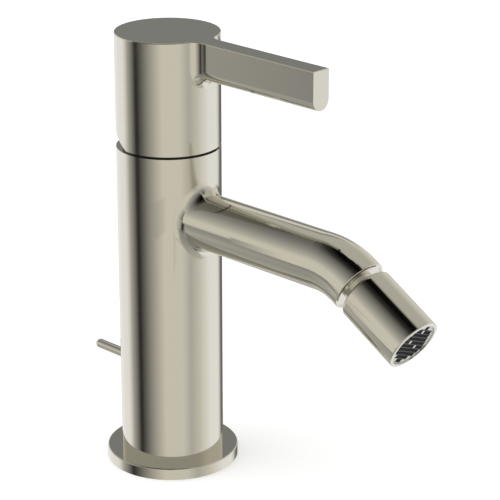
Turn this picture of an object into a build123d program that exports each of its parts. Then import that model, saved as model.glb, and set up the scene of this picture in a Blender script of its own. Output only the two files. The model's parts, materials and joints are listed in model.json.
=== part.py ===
from build123d import *
import os
from math import cos, floor, radians, sin, sqrt, tan

# Single-lever bidet mixer with a swivelling aerated outlet and a pop-up waste pull rod.
# Lengths are millimetres, angles are degrees, +Z is up. The origin is the centre of the base
# plate's underside, on the deck. The lever and the spout point along -Y, the pull rod along +Y.

# Overall sizes
body_radius = 20.0
rim_z = 128.6
plate_radius = 25.8
plate_thickness = 4.6
handle_height = 43.3
handle_gap = 1.0
lever_reach = 78.7
lever_width = 7.9
lever_depth = 14.9
spout_z = 102.8
spout_radius = 10.7
spout_corner_reach = 89.4
spout_drop_angle = 30.0
spout_bend_radius = 28.0
spout_end_length = 10.4
head_gap = 2.8
head_radius = 10.6
head_length = 27.1
rod_z = 34.3
rod_radius = 1.87
rod_reach = 44.5

# Clearances and one overrun for every cut
running_gap = 0.06
fit_gap = 0.05
free_gap = 0.3
overrun = 1.0

# Base plate, gasket and centring collar
plate_edge_round = 0.5
collar_inset = 1.85
collar_wall = 1.65
collar_height = 6.0
gasket_margin = 2.0
gasket_width = 5.0
gasket_thickness = 1.6
o_ring_width = 0.9
o_ring_groove_length = 1.4
o_ring_groove_height = 2.4
o_ring_sides = 8

# Body casting
body_wall = 2.8
block_z = 76.0
root_fillet = 5.0
spout_root_depth = 5.0
spout_bore_radius = 6.6
spout_bore_depth = 3.5
spout_edge_round = 0.35
stud_inset = 4.8
stud_boss_radius = 5.4
stud_boss_z = 11.6
stud_hole_radius = 3.4
stud_hole_depth = 16.0
inlet_x = 7.6
inlet_y = 0.6
inlet_radius = 4.5
inlet_depth = 12.0

# Cartridge chamber, measured from the body's rim; here and below shares are of body_radius
chamber_depth = 24.6
chamber_radius_share = 0.63
nut_bore_radius_share = 0.7025
nut_seat_height = 14.6
dome_seat_depth = 2.0

# Ports in the chamber floor, the cartridge base and the fixed disc
port_radius_share = 0.11
inlet_port_x_share = 0.28
inlet_port_y_share = 0.08
outlet_port_y_share = -0.28
outlet_passage_drop = 5.5
port_seal_width = 1.6
port_seal_radius_share = 0.16
disc_seal_width = 1.2
disc_seal_radius_share = 0.145
peg_radius_share = 0.07
peg_length = 2.0
peg_x_share = 0.375
peg_y_share = -0.35
key_radius_share = 0.045
key_x_share = 0.5

# Cartridge stack
base_thickness = 4.6
disc_thickness = 3.4
fixed_disc_radius_share = 0.545
moving_disc_radius_share = 0.42
channel_depth = 1.6
channel_bar_length_share = 0.56
channel_bar_width_share = 0.18
channel_bar_y_share = 0.19
channel_stem_length_share = 0.4
channel_stem_width_share = 0.26
carrier_thickness = 6.0
carrier_flat_x_share = 0.4
socket_radius_share = 0.125
ball_depth = 1.9
flange_gap = 0.2
rotor_flange_thickness = 1.8
rotor_flange_radius_share = 0.55
rotor_neck_radius_share = 0.41
rotor_slot_width_share = 0.34
rotor_slot_length_share = 0.65
rotor_relief_length_share = 0.75
rotor_relief_depth = 1.2
rotor_head_height = 4.0
pivot_height = 5.0
lid_thickness = 2.5
housing_radius_share = 0.625
housing_bore_radius_share = 0.56
housing_flange_radius_share = 0.695
housing_flange_thickness = 2.2

# Spindle and its pin
lift_angle = 25.0
spindle_ball_radius_share = 0.12
spindle_shank_radius_share = 0.085
spindle_bar_width_share = 0.4
spindle_cheek_width_share = 0.33
spindle_cheek_low = 4.4
spindle_cheek_high = 6.8
spindle_bar_height = 31.0
pin_radius = 1.25

# Stop ring and lug that limit the turn
turn_angle = 45.0
stop_ring_radius_share = 0.58
stop_ring_height = 2.4
stop_height = 1.6
stop_angle = 12.0
lug_angle = 20.0
lug_radius_share = 0.56
lug_place_angle = 90.0
stop_spare_angle = 1.5

# Cartridge nut and dome ring
nut_rise = 2.0
nut_slot_width = 3.0
nut_slot_depth = 2.0
nut_slot_count = 4
dome_inset = 2.4
dome_wall = 1.4
dome_edge_angle = 45.2

# Handle
handle_wall_gap = 0.5
handle_cut_y = 2.0
handle_cut_angle = 28.0
handle_fillet = 4.2
handle_edge_round = 0.3
insert_radius = 7.4
insert_depth = 2.0
insert_head_gap = 0.4
grub_radius = 2.5
grub_length = 8.0
grub_inset = 6.5
plug_radius = 3.6
plug_depth = 2.4
plug_crown = 0.3

# Pop-up waste: slider, bush and slot guide
slider_inset = 5.2
slider_radius = 3.5
slider_low_z = 3.0
slider_high_z = 78.0
slider_thread_radius = 2.1
slider_thread_depth = 10.0
rod_travel = 20.0
bush_radius = 4.95
bush_flange_radius = 6.2
bush_flange_thickness = 2.0
bush_depth = 10.0
slot_width = 7.2
slot_gap = 0.1

# Ball joint, measured along the outlet's axis
ball_radius = 8.0
ball_bore_radius = 4.0
neck_radius = 6.0
head_tilt_angle = 15.0
ball_set_back = 7.1
recess_radius = 9.6
recess_depth = 3.6
washer_thickness = 0.8
washer_bore_radius = 7.8
nipple_flange_thickness = 1.8
nipple_thread_radius = 7.6
nipple_thread_length = 5.2
collar_ring_thickness = 0.85
collar_ring_dish = 0.4

# Outlet head
head_bore_radius = 9.3
head_rear_round = 1.2
head_front_round = 0.4
retainer_recess = 0.7
neck_gap = 0.5
retainer_grip = 3.3
seat_length = 4.4
seat_grip = 0.1
seal_length = 1.4
seal_bore_radius = 6.4
shoulder_length = 3.0
shoulder_bore_radius = 6.0
aerator_seal_thickness = 1.0
aerator_seal_bore_radius = 6.5
aerator_recess = 0.5
aerator_bore_radius = 8.6
lattice_ledge = 0.8
ledge_radius = 8.0
diffuser_radius = 8.5
diffuser_thickness = 1.4
diffuser_hole_radius = 0.55
diffuser_rings = 2
diffuser_holes_share = 6
diffuser_front_gap = 2.2
lattice_depth = 1.6
lattice_radius = 9.0
lattice_proud = 0.1
cell_width = 1.35
cell_wall = 0.35
lattice_turn_angle = -26.0
peg_cells = [(8, 2), (5, 2), (4, 6)]

# Cartridge sizes across its axis, which follow the body's radius
chamber_radius = body_radius * chamber_radius_share
nut_bore_radius = body_radius * nut_bore_radius_share
port_radius = body_radius * port_radius_share
inlet_port_x = body_radius * inlet_port_x_share
inlet_port_y = body_radius * inlet_port_y_share
outlet_port_y = body_radius * outlet_port_y_share
port_seal_radius = body_radius * port_seal_radius_share
disc_seal_radius = body_radius * disc_seal_radius_share
peg_radius = body_radius * peg_radius_share
peg_x = body_radius * peg_x_share
peg_y = body_radius * peg_y_share
key_radius = body_radius * key_radius_share
key_x = body_radius * key_x_share
fixed_disc_radius = body_radius * fixed_disc_radius_share
moving_disc_radius = body_radius * moving_disc_radius_share
channel_bar_length = body_radius * channel_bar_length_share
channel_bar_width = body_radius * channel_bar_width_share
channel_bar_y = body_radius * channel_bar_y_share
channel_stem_length = body_radius * channel_stem_length_share
channel_stem_width = body_radius * channel_stem_width_share
carrier_flat_x = body_radius * carrier_flat_x_share
socket_radius = body_radius * socket_radius_share
rotor_flange_radius = body_radius * rotor_flange_radius_share
rotor_neck_radius = body_radius * rotor_neck_radius_share
rotor_slot_width = body_radius * rotor_slot_width_share
rotor_slot_length = body_radius * rotor_slot_length_share
rotor_relief_length = body_radius * rotor_relief_length_share
housing_radius = body_radius * housing_radius_share
housing_bore_radius = body_radius * housing_bore_radius_share
housing_flange_radius = body_radius * housing_flange_radius_share
spindle_ball_radius = body_radius * spindle_ball_radius_share
spindle_shank_radius = body_radius * spindle_shank_radius_share
spindle_bar_width = body_radius * spindle_bar_width_share
spindle_cheek_width = body_radius * spindle_cheek_width_share
stop_ring_radius = body_radius * stop_ring_radius_share
lug_radius = body_radius * lug_radius_share

# Radii and places that follow from the sizes above
cavity_radius = body_radius - body_wall
collar_radius = body_radius - collar_inset
collar_bore_radius = collar_radius - collar_wall
gasket_outer_radius = plate_radius - gasket_margin
gasket_inner_radius = gasket_outer_radius - gasket_width
dome_radius = body_radius - dome_inset
stud_y = stud_inset - cavity_radius
slider_y = cavity_radius - slider_inset

# Heights that follow from the sizes above
handle_z = rim_z + handle_gap
top_z = handle_z + handle_height
floor_z = rim_z - chamber_depth
nut_seat_z = floor_z + nut_seat_height
dome_seat_z = rim_z - dome_seat_depth
base_top_z = floor_z + base_thickness
fixed_top_z = base_top_z + disc_thickness
moving_top_z = fixed_top_z + disc_thickness
carrier_top_z = moving_top_z + carrier_thickness
rotor_flange_z = carrier_top_z + flange_gap
rotor_shoulder_z = rotor_flange_z + rotor_flange_thickness
lid_z = rotor_shoulder_z + flange_gap / 2
housing_top_z = lid_z + lid_thickness
pivot_z = housing_top_z + pivot_height
rotor_top_z = pivot_z + rotor_head_height
ball_end_z = carrier_top_z - ball_depth
spindle_throw = pivot_z - ball_end_z
flange_top_z = nut_seat_z + housing_flange_thickness
stop_ring_top_z = housing_top_z + stop_ring_height
disc_shift = spindle_throw * sin(radians(lift_angle)) / 2

# Stations along the outlet's axis, from the corner of the spout's centre line
washer_at = spout_end_length - recess_depth
nipple_flange_at = washer_at + washer_thickness
collar_ring_at = nipple_flange_at + nipple_flange_thickness
head_at = spout_end_length + head_gap
ball_at = head_at + ball_set_back
seat_at = ball_at + seat_grip
seal_at = seat_at + seat_length
shoulder_at = seal_at + seal_length + seat_grip
chamber_at = shoulder_at + shoulder_length
aerator_at = chamber_at + aerator_seal_thickness
head_end_at = head_at + head_length
aerator_end_at = head_end_at - aerator_recess
socket_sphere_radius = ball_radius + running_gap

# Planes of the outlet: one square to its axis, and one that holds the axis, for half sections
spout_corner = Vector(0, -spout_corner_reach, spout_z)
outlet_direction = Vector(0, -cos(radians(spout_drop_angle)), -sin(radians(spout_drop_angle)))
outlet = Plane(origin=spout_corner, x_dir=(1, 0, 0), z_dir=outlet_direction)
outlet_section = Plane(origin=spout_corner, x_dir=(1, 0, 0), z_dir=-outlet.y_dir)
outlet_axis = Axis(spout_corner, outlet_direction)
ball_plane = outlet.offset(ball_at)

os.makedirs("parts", exist_ok=True)


def port_places():
    """Centres of the hot, cold and mixed water ports."""
    return [(-inlet_port_x, inlet_port_y), (inlet_port_x, inlet_port_y), (0, outlet_port_y)]


def ring_section(inner, outer, low, high):
    """Half section of a plain ring, for the sketch that is open."""
    Polygon((inner, low), (outer, low), (outer, high), (inner, high), align=None)


def half_width_at(sphere_radius, distance):
    """Radius of a sphere's section at a distance from its centre."""
    return sqrt(sphere_radius**2 - distance**2)


# Base plate: escutcheon ring, gasket groove below, centring collar above
with BuildPart() as base_plate:
    with BuildSketch(Plane.XZ):
        ring_section(collar_bore_radius, plate_radius, 0, plate_thickness)
        ring_section(collar_bore_radius, collar_radius, 0, plate_thickness + collar_height)
    revolve(axis=Axis.Z)
    with BuildSketch(Plane.XZ):
        ring_section(gasket_inner_radius, gasket_outer_radius, -overrun, gasket_thickness)
    revolve(axis=Axis.Z, mode=Mode.SUBTRACT)
    o_ring_z = plate_thickness + o_ring_groove_height
    with BuildSketch(Plane.XZ):
        ring_section(
            collar_radius - o_ring_width,
            collar_radius + overrun,
            o_ring_z,
            o_ring_z + o_ring_groove_length,
        )
    revolve(axis=Axis.Z, mode=Mode.SUBTRACT)
    plate_edges = base_plate.edges().filter_by(GeomType.CIRCLE)
    outer_edges = plate_edges.filter_by(lambda edge: edge.radius > plate_radius - fit_gap)
    fillet(outer_edges.sort_by(Axis.Z)[-1], plate_edge_round)
base_plate.part.label = "base_plate"
export_step(base_plate.part, "parts/base_plate.step")

with BuildPart() as base_gasket:
    with BuildSketch():
        Circle(gasket_outer_radius - fit_gap)
        Circle(gasket_inner_radius + fit_gap, mode=Mode.SUBTRACT)
    extrude(amount=gasket_thickness)
base_gasket.part.label = "base_gasket"
export_step(base_gasket.part, "parts/base_gasket.step")

# O-ring squeezed between the collar and the body's seat
collar_seat_radius = collar_radius + fit_gap
o_ring_section_radius = (o_ring_width + fit_gap) / 2
with BuildPart() as body_o_ring:
    with BuildSketch(Plane.XZ):
        ring_centre_x = collar_seat_radius - o_ring_section_radius
        with Locations((ring_centre_x, o_ring_z + o_ring_groove_length / 2)):
            RegularPolygon(o_ring_section_radius, o_ring_sides)
    revolve(axis=Axis.Z)
body_o_ring.part.label = "body_o_ring"
export_step(body_o_ring.part, "parts/body_o_ring.step")

# Body: one casting with the spout, the hose cavity below and the cartridge chamber above
spout_start = Vector(0, -(body_radius - spout_root_depth), spout_z)
spout_end = spout_corner + outlet_direction * spout_end_length
bore_start = Vector(0, -(body_radius - spout_bore_depth), spout_z)
bore_end = spout_end + outlet_direction * overrun
with BuildLine() as spout_path:
    FilletPolyline(spout_start, spout_corner, spout_end, radius=spout_bend_radius)
with BuildLine() as bore_path:
    FilletPolyline(bore_start, spout_corner, bore_end, radius=spout_bend_radius)

collar_seat_z = plate_thickness + collar_height + free_gap
dome_seat_radius = dome_radius + fit_gap
slot_half_height = rod_travel / 2
slot_plane = Plane(origin=(0, 0, rod_z + slot_half_height), x_dir=(1, 0, 0), z_dir=(0, 1, 0))
outlet_passage_z = floor_z - outlet_passage_drop
rod_bore_top_z = slider_high_z + rod_travel + free_gap

with BuildPart() as body:
    with BuildSketch(Plane.XZ):
        Polygon(
            (0, block_z),
            (cavity_radius, block_z),
            (cavity_radius, collar_seat_z),
            (collar_seat_radius, collar_seat_z),
            (collar_seat_radius, plate_thickness),
            (body_radius, plate_thickness),
            (body_radius, rim_z),
            (dome_seat_radius, rim_z),
            (dome_seat_radius, dome_seat_z),
            (nut_bore_radius, dome_seat_z),
            (nut_bore_radius, nut_seat_z),
            (chamber_radius, nut_seat_z),
            (chamber_radius, floor_z),
            (0, floor_z),
            align=None,
        )
    revolve(axis=Axis.Z)
    with BuildSketch(Plane(origin=spout_start, x_dir=(1, 0, 0), z_dir=(0, -1, 0))):
        Circle(spout_radius)
    sweep(path=spout_path.wire())
    spout_side_y = -half_width_at(body_radius, spout_radius)
    root_edges = [
        edge
        for edge in body.edges()
        if edge.bounding_box().max.Y < spout_side_y + fit_gap
        and edge.bounding_box().min.Y > -body_radius - fit_gap
        and abs(edge.center().Z - spout_z) < spout_radius + fit_gap
    ]
    fillet(root_edges, root_fillet)
    fillet(body.faces().sort_by(outlet_axis)[-1].edges(), spout_edge_round)
    # Boss for the fixing stud, on the cavity's front wall
    with BuildSketch(Plane.XY.offset(stud_boss_z)):
        with Locations((0, stud_y)):
            Circle(stud_boss_radius)
    extrude(amount=block_z - stud_boss_z)
    with BuildSketch(Plane.XY.offset(stud_boss_z)):
        with Locations((0, stud_y)):
            Circle(stud_hole_radius)
    extrude(amount=stud_hole_depth, mode=Mode.SUBTRACT)
    # Waterway: two threaded inlets, three ports and the way out to the spout
    with BuildSketch(Plane.XY.offset(block_z)):
        with Locations((-inlet_x, inlet_y), (inlet_x, inlet_y)):
            Circle(inlet_radius)
    extrude(amount=inlet_depth, mode=Mode.SUBTRACT)
    with BuildSketch(Plane.XY.offset(floor_z)):
        with Locations(*port_places()[:2]):
            Circle(port_radius)
    extrude(amount=-(floor_z - block_z - inlet_depth / 2), mode=Mode.SUBTRACT)
    with BuildSketch(Plane.XY.offset(floor_z)):
        with Locations(port_places()[2]):
            Circle(port_radius)
    extrude(amount=-outlet_passage_drop, mode=Mode.SUBTRACT)
    passage = Plane(origin=(0, outlet_port_y, outlet_passage_z), x_dir=(1, 0, 0), z_dir=(0, -1, 0))
    with BuildSketch(passage):
        Circle(port_radius)
    extrude(amount=body_radius - spout_bore_depth + overrun + outlet_port_y, mode=Mode.SUBTRACT)
    with BuildSketch(Plane.XY.offset(floor_z)):
        with Locations((-peg_x, peg_y), (peg_x, peg_y)):
            Circle(peg_radius + fit_gap)
    extrude(amount=-(peg_length + free_gap), mode=Mode.SUBTRACT)
    # Spout bore, with the seat and thread for the ball joint at its end
    with BuildSketch(Plane(origin=bore_start, x_dir=(1, 0, 0), z_dir=(0, -1, 0))):
        Circle(spout_bore_radius)
    sweep(path=bore_path.wire(), mode=Mode.SUBTRACT)
    with BuildSketch(outlet.offset(washer_at)):
        Circle(recess_radius)
    extrude(amount=recess_depth + overrun, mode=Mode.SUBTRACT)
    with BuildSketch(outlet.offset(nipple_flange_at - nipple_thread_length - washer_thickness)):
        Circle(nipple_thread_radius + fit_gap)
    extrude(amount=nipple_thread_length + washer_thickness, mode=Mode.SUBTRACT)
    # Blind bore that guides the pop-up slider, and the slot for its pull rod
    with BuildSketch(Plane.XY.offset(block_z)):
        with Locations((0, slider_y)):
            Circle(bush_radius + fit_gap)
    extrude(amount=rod_bore_top_z - block_z, mode=Mode.SUBTRACT)
    with BuildSketch(slot_plane.offset(slider_y)):
        SlotOverall(rod_travel + slot_width, slot_width, rotation=90)
    extrude(amount=body_radius, mode=Mode.SUBTRACT)
body.part.label = "body"
export_step(body.part, "parts/body.step")

# Liner of the slot, flush with the body outside and inside
slot_inner_width = 2 * (rod_radius + slot_gap)
with BuildPart() as slot_guide:
    with BuildSketch(slot_plane.offset(slider_y)):
        SlotOverall(rod_travel + slot_width - 2 * fit_gap, slot_width - 2 * fit_gap, rotation=90)
        SlotOverall(rod_travel + slot_inner_width, slot_inner_width, rotation=90, mode=Mode.SUBTRACT)
    extrude(amount=body_radius)
    with BuildSketch():
        Circle(body_radius)
        Circle(cavity_radius, mode=Mode.SUBTRACT)
    extrude(amount=rim_z, mode=Mode.INTERSECT)
slot_guide.part.label = "slot_guide"
export_step(slot_guide.part, "parts/slot_guide.step")

# Bush that the slider runs in, pushed up into the block
with BuildPart() as rod_bush:
    with BuildSketch(Plane.XY.offset(block_z - bush_flange_thickness)):
        with Locations((0, slider_y)):
            Circle(bush_flange_radius)
    extrude(amount=bush_flange_thickness)
    with BuildSketch(Plane.XY.offset(block_z)):
        with Locations((0, slider_y)):
            Circle(bush_radius)
    extrude(amount=bush_depth)
    with BuildSketch(Plane.XY.offset(block_z - bush_flange_thickness)):
        with Locations((0, slider_y)):
            Circle(slider_radius + running_gap)
    extrude(amount=bush_flange_thickness + bush_depth, mode=Mode.SUBTRACT)
    with BuildSketch():
        Circle(cavity_radius - fit_gap)
    extrude(amount=rim_z, mode=Mode.INTERSECT)
rod_bush.part.label = "rod_bush"
export_step(rod_bush.part, "parts/rod_bush.step")

# Slider: the upright of the pop-up waste, threaded below and cross-drilled for the pull rod
with BuildPart() as lift_slider:
    with BuildSketch(Plane.XY.offset(slider_low_z)):
        with Locations((0, slider_y)):
            Circle(slider_radius)
    extrude(amount=slider_high_z - slider_low_z)
    with BuildSketch(Plane.XY.offset(slider_low_z)):
        with Locations((0, slider_y)):
            Circle(slider_thread_radius)
    extrude(amount=slider_thread_depth, mode=Mode.SUBTRACT)
    rod_plane = Plane(origin=(0, slider_y, rod_z), x_dir=(1, 0, 0), z_dir=(0, 1, 0))
    with BuildSketch(rod_plane):
        Circle(rod_radius + fit_gap)
    extrude(amount=slider_radius + overrun, mode=Mode.SUBTRACT)
lift_slider.part.label = "lift_slider"
export_step(lift_slider.part, "parts/lift_slider.step")

# Pull rod with a domed end, screwed into the slider
with BuildPart() as pull_rod:
    with BuildSketch(rod_plane):
        Circle(rod_radius)
    extrude(amount=rod_reach - slider_y)
    fillet(pull_rod.edges().sort_by(Axis.Y)[-1], rod_radius - fit_gap)
pull_rod.part.label = "pull_rod"
export_step(pull_rod.part, "parts/pull_rod.step")

# Cartridge base: ports with seal seats on both faces, pegs below and keys above
with BuildPart() as cartridge_base:
    with BuildSketch(Plane.XY.offset(floor_z)):
        Circle(housing_radius)
    extrude(amount=base_thickness)
    with BuildSketch(Plane.XY.offset(floor_z - peg_length)):
        with Locations((-peg_x, peg_y), (peg_x, peg_y)):
            Circle(peg_radius)
    extrude(amount=peg_length)
    with BuildSketch(Plane.XY.offset(base_top_z)):
        with Locations((-key_x, 0), (key_x, 0)):
            Circle(key_radius)
    extrude(amount=disc_thickness - free_gap)
    with BuildSketch(Plane.XY.offset(floor_z)):
        with Locations(*port_places()):
            Circle(port_radius)
    extrude(amount=base_thickness, mode=Mode.SUBTRACT)
    with BuildSketch(Plane.XY.offset(floor_z)):
        with Locations(*port_places()):
            Circle(port_seal_radius + port_seal_width / 2 + fit_gap)
    extrude(amount=port_seal_width + fit_gap, mode=Mode.SUBTRACT)
    with BuildSketch(Plane.XY.offset(base_top_z)):
        with Locations(*port_places()):
            Circle(disc_seal_radius + disc_seal_width / 2 + fit_gap)
    extrude(amount=-(disc_seal_width + fit_gap), mode=Mode.SUBTRACT)
cartridge_base.part.label = "cartridge_base"
export_step(cartridge_base.part, "parts/cartridge_base.step")

with BuildPart() as port_seals:
    with BuildSketch(Plane.XY.offset(floor_z)):
        with Locations(*port_places()):
            Circle(port_seal_radius + port_seal_width / 2)
        with Locations(*port_places()):
            Circle(port_seal_radius - port_seal_width / 2, mode=Mode.SUBTRACT)
    extrude(amount=port_seal_width)
port_seals.part.label = "port_seals"
export_step(port_seals.part, "parts/port_seals.step")

with BuildPart() as disc_seals:
    with BuildSketch(Plane.XY.offset(base_top_z - disc_seal_width)):
        with Locations(*port_places()):
            Circle(disc_seal_radius + disc_seal_width / 2)
        with Locations(*port_places()):
            Circle(disc_seal_radius - disc_seal_width / 2, mode=Mode.SUBTRACT)
    extrude(amount=disc_seal_width)
disc_seals.part.label = "disc_seals"
export_step(disc_seals.part, "parts/disc_seals.step")

# Ceramic discs: the fixed one has the ports, the moving one the channel that joins them
with BuildPart() as fixed_disc:
    with BuildSketch(Plane.XY.offset(base_top_z)):
        Circle(fixed_disc_radius)
        with Locations(*port_places()):
            Circle(port_radius, mode=Mode.SUBTRACT)
        with Locations((-key_x, 0), (key_x, 0)):
            Circle(key_radius + fit_gap, mode=Mode.SUBTRACT)
    extrude(amount=disc_thickness)
fixed_disc.part.label = "fixed_disc"
export_step(fixed_disc.part, "parts/fixed_disc.step")

with BuildPart() as moving_disc:
    with BuildSketch(Plane.XY.offset(fixed_top_z)):
        with Locations((0, disc_shift)):
            Circle(moving_disc_radius)
    extrude(amount=disc_thickness)
    with BuildSketch(Plane.XY.offset(fixed_top_z)):
        with Locations((0, disc_shift + channel_bar_y)):
            Rectangle(channel_bar_length, channel_bar_width)
        with Locations((0, disc_shift + channel_bar_y)):
            Rectangle(channel_stem_width, channel_stem_length, align=(Align.CENTER, Align.MAX))
    extrude(amount=channel_depth, mode=Mode.SUBTRACT)
moving_disc.part.label = "moving_disc"
export_step(moving_disc.part, "parts/moving_disc.step")

# Carrier that the spindle's ball end pushes
with BuildPart() as disc_carrier:
    with BuildSketch(Plane.XY.offset(moving_top_z)):
        with Locations((0, disc_shift)):
            Circle(moving_disc_radius)
            Rectangle(2 * carrier_flat_x, 2 * moving_disc_radius, mode=Mode.INTERSECT)
    extrude(amount=carrier_thickness)
    with BuildSketch(Plane.XY.offset(carrier_top_z)):
        Circle(socket_radius)
    extrude(amount=-(ball_depth + spindle_ball_radius + fit_gap), mode=Mode.SUBTRACT)
disc_carrier.part.label = "disc_carrier"
export_step(disc_carrier.part, "parts/disc_carrier.step")

# Rotor: rails beside the carrier, a slot for the spindle, a lug for the stops
lug_low_z = stop_ring_top_z + flange_gap
with BuildPart() as cartridge_rotor:
    with BuildSketch(Plane.XY.offset(rotor_flange_z)):
        Circle(rotor_flange_radius)
    extrude(amount=rotor_flange_thickness)
    with BuildSketch(Plane.XY.offset(rotor_shoulder_z)):
        Circle(rotor_neck_radius)
    extrude(amount=rotor_top_z - rotor_shoulder_z)
    with BuildSketch(Plane.XY.offset(moving_top_z + flange_gap)):
        Circle(rotor_flange_radius)
        Rectangle(
            2 * (carrier_flat_x + running_gap),
            2 * rotor_flange_radius,
            mode=Mode.SUBTRACT,
        )
    extrude(amount=carrier_thickness)
    with BuildSketch(Plane.XZ.rotated((0, 0, lug_place_angle - lug_angle / 2))):
        ring_section(rotor_neck_radius - overrun, lug_radius, lug_low_z, lug_low_z + stop_height)
    revolve(axis=Axis.Z, revolution_arc=lug_angle)
    with BuildSketch(Plane.XY.offset(rotor_flange_z)):
        Rectangle(rotor_slot_width, rotor_slot_length)
    extrude(amount=rotor_top_z - rotor_flange_z, mode=Mode.SUBTRACT)
    with BuildSketch(Plane.XY.offset(rotor_flange_z)):
        Rectangle(rotor_slot_width, rotor_relief_length)
    extrude(amount=rotor_relief_depth, mode=Mode.SUBTRACT)
    with BuildSketch(Plane.YZ.offset(-rotor_neck_radius)):
        with Locations((0, pivot_z)):
            Circle(pin_radius + fit_gap / 2)
    extrude(amount=2 * rotor_neck_radius, mode=Mode.SUBTRACT)
cartridge_rotor.part.label = "cartridge_rotor"
export_step(cartridge_rotor.part, "parts/cartridge_rotor.step")

with BuildPart() as spindle_pin:
    with BuildSketch(Plane.YZ.offset(-rotor_neck_radius)):
        with Locations((0, pivot_z)):
            Circle(pin_radius)
    extrude(amount=2 * rotor_neck_radius)
spindle_pin.part.label = "spindle_pin"
export_step(spindle_pin.part, "parts/spindle_pin.step")

# Spindle: ball end, shank, cheeks on the pin and a square bar up into the handle
with BuildPart() as spindle:
    with BuildSketch(Plane.XY.offset(pivot_z + spindle_cheek_high)):
        Rectangle(spindle_bar_width, spindle_bar_width)
    extrude(amount=spindle_bar_height - spindle_cheek_high)
    with BuildSketch(Plane.XY.offset(pivot_z - spindle_cheek_low)):
        Rectangle(spindle_cheek_width, spindle_bar_width)
    extrude(amount=spindle_cheek_low + spindle_cheek_high)
    with BuildSketch(Plane.XY.offset(ball_end_z)):
        Circle(spindle_shank_radius)
    extrude(amount=spindle_throw)
    with BuildSketch(Plane.YZ.offset(-spindle_bar_width)):
        with Locations((0, pivot_z)):
            Circle(pin_radius + running_gap)
    extrude(amount=2 * spindle_bar_width, mode=Mode.SUBTRACT)
    with Locations((0, 0, ball_end_z)):
        Sphere(spindle_ball_radius)
spindle.part.label = "spindle"
export_step(spindle.part, "parts/spindle.step")

# Housing: keeps discs, carrier and rotor together, flanged for the nut
with BuildPart() as cartridge_housing:
    with BuildSketch(Plane.XZ):
        Polygon(
            (housing_bore_radius, base_top_z),
            (housing_radius, base_top_z),
            (housing_radius, nut_seat_z),
            (housing_flange_radius, nut_seat_z),
            (housing_flange_radius, flange_top_z),
            (housing_radius, flange_top_z),
            (housing_radius, housing_top_z),
            (rotor_neck_radius + running_gap, housing_top_z),
            (rotor_neck_radius + running_gap, lid_z),
            (housing_bore_radius, lid_z),
            align=None,
        )
    revolve(axis=Axis.Z)
cartridge_housing.part.label = "cartridge_housing"
export_step(cartridge_housing.part, "parts/cartridge_housing.step")

# Stop ring on the housing: two raised stops either side of the rotor's lug
stop_centre_angle = turn_angle + stop_spare_angle + (lug_angle + stop_angle) / 2
stop_bore_radius = rotor_neck_radius + free_gap
with BuildPart() as stop_ring:
    with BuildSketch(Plane.XY.offset(housing_top_z)):
        Circle(stop_ring_radius)
        Circle(stop_bore_radius, mode=Mode.SUBTRACT)
    extrude(amount=stop_ring_height)
    for side in (-1, 1):
        stop_place_angle = lug_place_angle + side * stop_centre_angle - stop_angle / 2
        with BuildSketch(Plane.XZ.rotated((0, 0, stop_place_angle))):
            ring_section(stop_bore_radius, stop_ring_radius, stop_ring_top_z, lug_low_z + stop_height)
        revolve(axis=Axis.Z, revolution_arc=stop_angle)
stop_ring.part.label = "stop_ring"
export_step(stop_ring.part, "parts/stop_ring.step")

# Nut that clamps the housing's flange, with slots for a ring spanner
nut_top_z = rim_z + nut_rise
with BuildPart() as cartridge_nut:
    with BuildSketch(Plane.XY.offset(flange_top_z)):
        Circle(nut_bore_radius - fit_gap)
        Circle(housing_radius + fit_gap, mode=Mode.SUBTRACT)
    extrude(amount=nut_top_z - flange_top_z)
    with BuildSketch(Plane.XY.offset(nut_top_z)):
        with PolarLocations(nut_bore_radius, nut_slot_count):
            Rectangle(2 * (nut_bore_radius - housing_radius), nut_slot_width)
    extrude(amount=-nut_slot_depth, mode=Mode.SUBTRACT)
cartridge_nut.part.label = "cartridge_nut"
export_step(cartridge_nut.part, "parts/cartridge_nut.step")

# Dome ring: skirt in the body's rim, and a spherical cap that the handle rolls over
dome_inner_radius = dome_radius - dome_wall
with BuildPart() as dome_ring:
    with BuildSketch(Plane.XZ):
        with BuildLine():
            outer_arc = CenterArc((0, pivot_z), dome_radius, 0, dome_edge_angle)
            inner_arc = CenterArc((0, pivot_z), dome_inner_radius, 0, dome_edge_angle)
            Line(outer_arc @ 1, inner_arc @ 1)
            Polyline(
                inner_arc @ 0,
                (dome_inner_radius, dome_seat_z),
                (dome_radius, dome_seat_z),
                outer_arc @ 0,
            )
        make_face()
    revolve(axis=Axis.Z)
dome_ring.part.label = "dome_ring"
export_step(dome_ring.part, "parts/dome_ring.step")

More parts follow.
